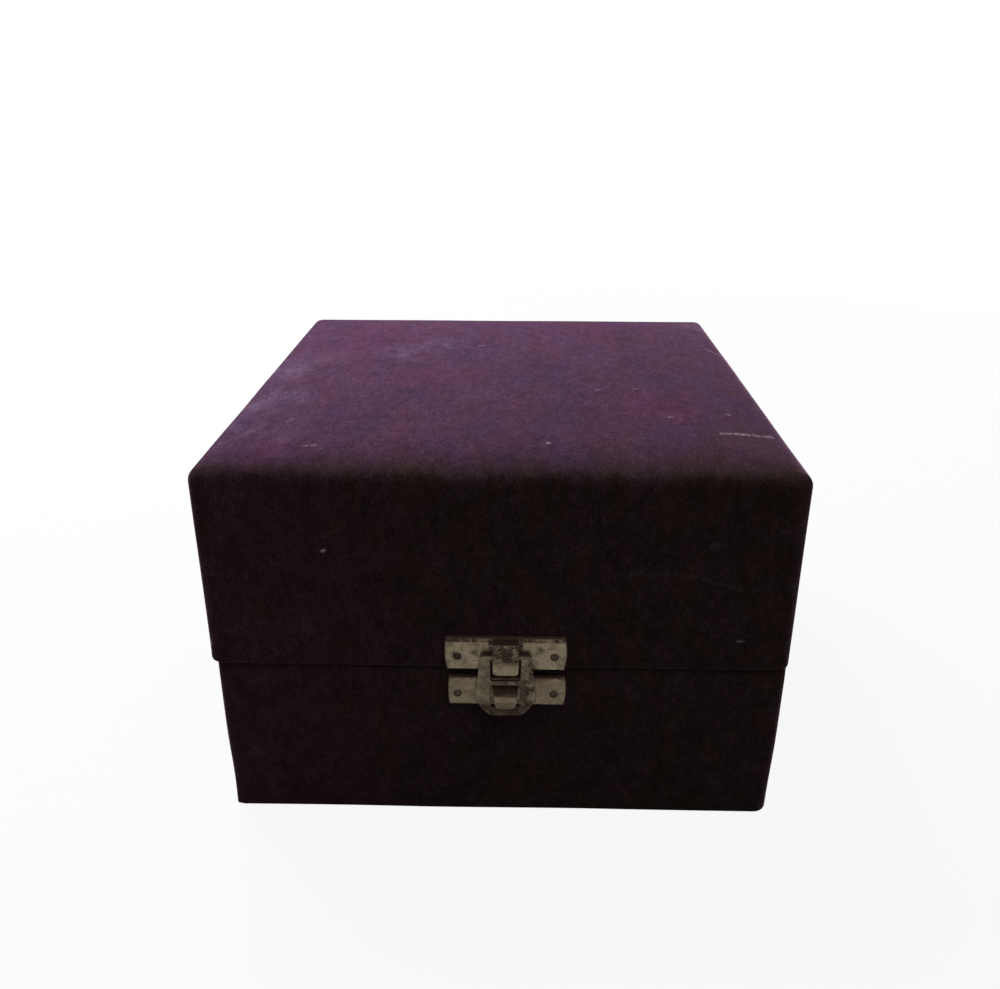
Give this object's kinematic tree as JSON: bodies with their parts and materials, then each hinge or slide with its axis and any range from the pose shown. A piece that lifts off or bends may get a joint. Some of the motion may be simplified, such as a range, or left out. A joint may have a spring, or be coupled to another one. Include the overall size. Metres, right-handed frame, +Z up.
{
  "type": "drafting instrument case",
  "caption": "Velvet-covered rectangular instrument case with a deep hinged lid, a swinging hasp latch, a padded lining and a lift-out fitted tray.",
  "frame": {"origin": "middle of the underside that the case stands on", "axes": "+Z up, -Y out of the front face with the latch, +X to the right seen from the front"},
  "size_m": [0.14, 0.1578, 0.0935],
  "materials": {
    "cover_velvet": "short pile velvet, faded",
    "board_wood": "plain sawn softwood",
    "underside_paper": "dark lining paper",
    "lining_satin": "aged satin",
    "latch_metal": "aged nickel plate",
    "hinge_metal": "aged nickel plate",
    "bed_velvet": "short pile velvet",
    "tray_board": "thin board covered in velvet",
    "pull_ribbon": "ribbed ribbon"
  },
  "bodies": {
    "base": {"base_bottom_board": "board_wood", "base_front_wall": "board_wood", "base_back_wall": "board_wood", "base_left_wall": "board_wood", "base_right_wall": "board_wood", "base_cover": "cover_velvet", "base_underside_sheet": "underside_paper", "base_lining": "lining_satin", "tray_bearers": "board_wood", "keeper_plate": "latch_metal", "keeper_nails": "latch_metal", "base_hinge_nails": "hinge_metal", "left_hinge_base_leaf": "hinge_metal", "right_hinge_base_leaf": "hinge_metal", "left_hinge_pin": "hinge_metal", "right_hinge_pin": "hinge_metal"},
    "lid": {"lid_top_board": "board_wood", "lid_front_wall": "board_wood", "lid_back_wall": "board_wood", "lid_left_wall": "board_wood", "lid_right_wall": "board_wood", "lid_cover": "cover_velvet", "lid_lining": "lining_satin", "lid_pad": "lining_satin", "latch_plate": "latch_metal", "latch_nails": "latch_metal", "lid_hinge_nails": "hinge_metal", "left_hinge_lid_leaf": "hinge_metal", "right_hinge_lid_leaf": "hinge_metal"},
    "hasp": {"latch_hasp": "latch_metal"},
    "tray": {"tray_floor": "tray_board", "tray_front_wall": "tray_board", "tray_back_wall": "tray_board", "tray_left_wall": "tray_board", "tray_right_wall": "tray_board", "bed_ribs": "bed_velvet", "bed_front_bar": "bed_velvet", "bed_back_bar": "bed_velvet", "bow_recess_stop": "bed_velvet", "tray_pulls": "pull_ribbon"}
  },
  "joints": [
    {"name": "lid_hinge", "type": "hinge", "parent": "base", "child": "lid", "pos_m": [0, 0.0768, 0.0442], "axis": [-1, 0, 0], "range_deg": [0, 150]},
    {"name": "hasp_swing", "type": "hinge", "parent": "lid", "child": "hasp", "pos_m": [0.0013, -0.07705, 0.048], "axis": [-1, 0, 0], "range_deg": [0, 150]},
    {"name": "tray_lift", "type": "slide", "parent": "base", "child": "tray", "axis": [0, 0, 1], "range_m": [0, 0.026]}
  ]
}
